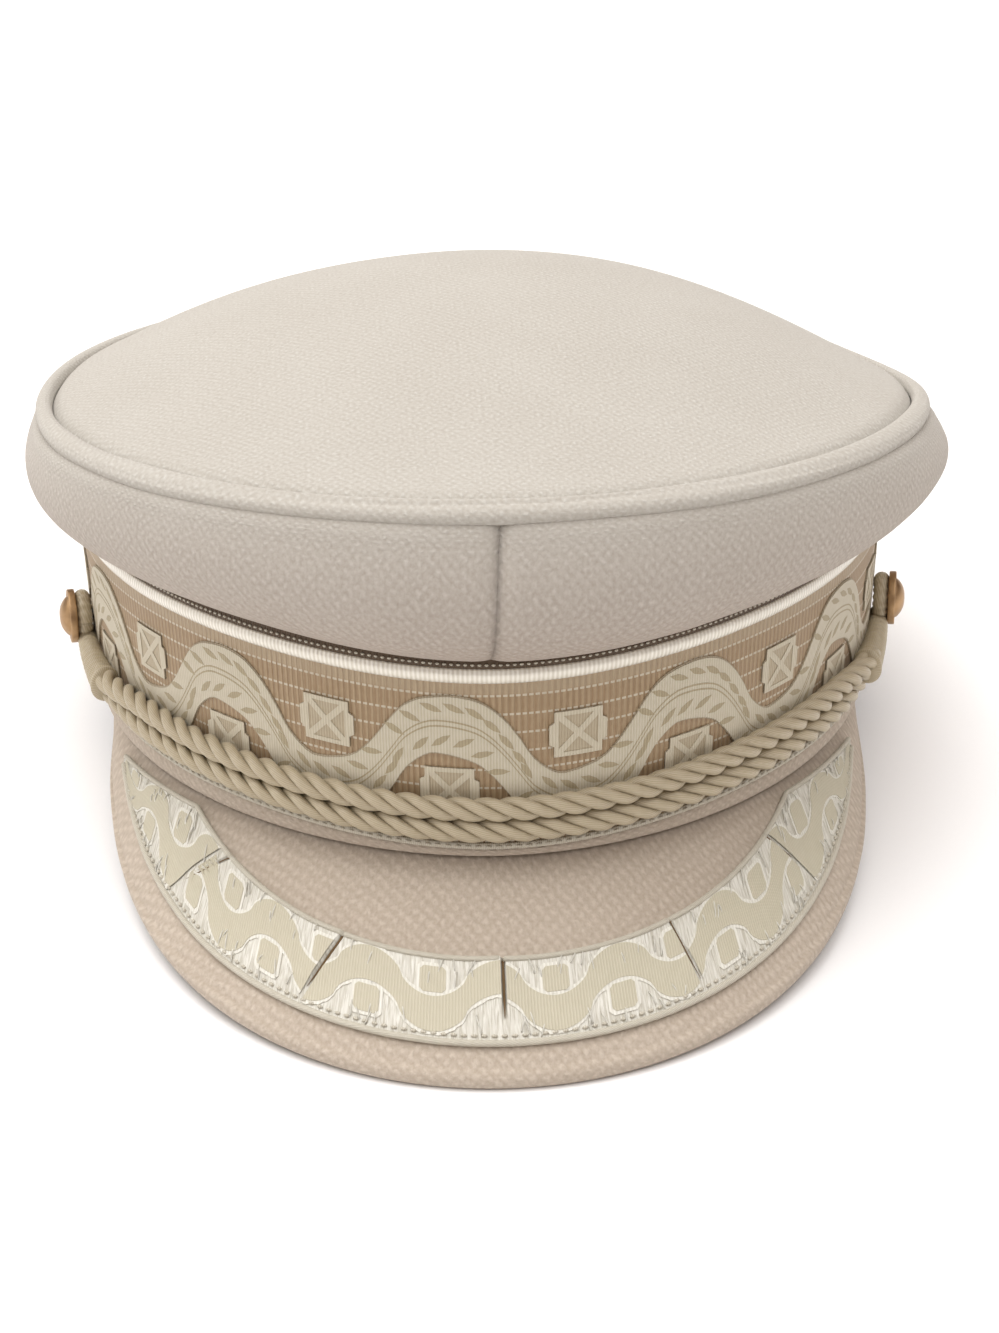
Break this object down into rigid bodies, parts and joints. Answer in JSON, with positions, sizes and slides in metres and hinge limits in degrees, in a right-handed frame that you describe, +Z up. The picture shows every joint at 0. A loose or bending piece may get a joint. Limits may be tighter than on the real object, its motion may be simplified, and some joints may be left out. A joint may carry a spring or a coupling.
{
  "type": "skipper cap",
  "caption": "Soft skipper cap: puffed crown with welt, stiff band with woven ribbon, double twisted cord between side buttons, curved ribbon-trimmed peak.",
  "frame": {"origin": "centre of the bounding box's base, on the surface the cap rests on", "axes": "+Z up, -Y to the front where the peak points, +X to the viewer's right when seen from the front"},
  "size_m": [0.2022, 0.259, 0.1065],
  "materials": {
    "wool": "cream wool twill, slightly fuzzy",
    "ribbon": "woven patterned ribbon, cream figures on a satin ground",
    "cord": "smooth twisted rayon cord, pale khaki",
    "gilt": "satin gilt"
  },
  "bodies": {
    "root": {"crown_top": "wool", "crown_welt": "wool", "crown_side_left": "wool", "crown_side_right": "wool", "band": "wool", "band_ribbon": "ribbon", "peak": "wool", "peak_ribbon": "ribbon", "cord_lower": "cord", "cord_upper": "cord", "cord_end_left": "cord", "button_left": "gilt", "cord_end_right": "cord", "button_right": "gilt"}
  },
  "joints": []
}
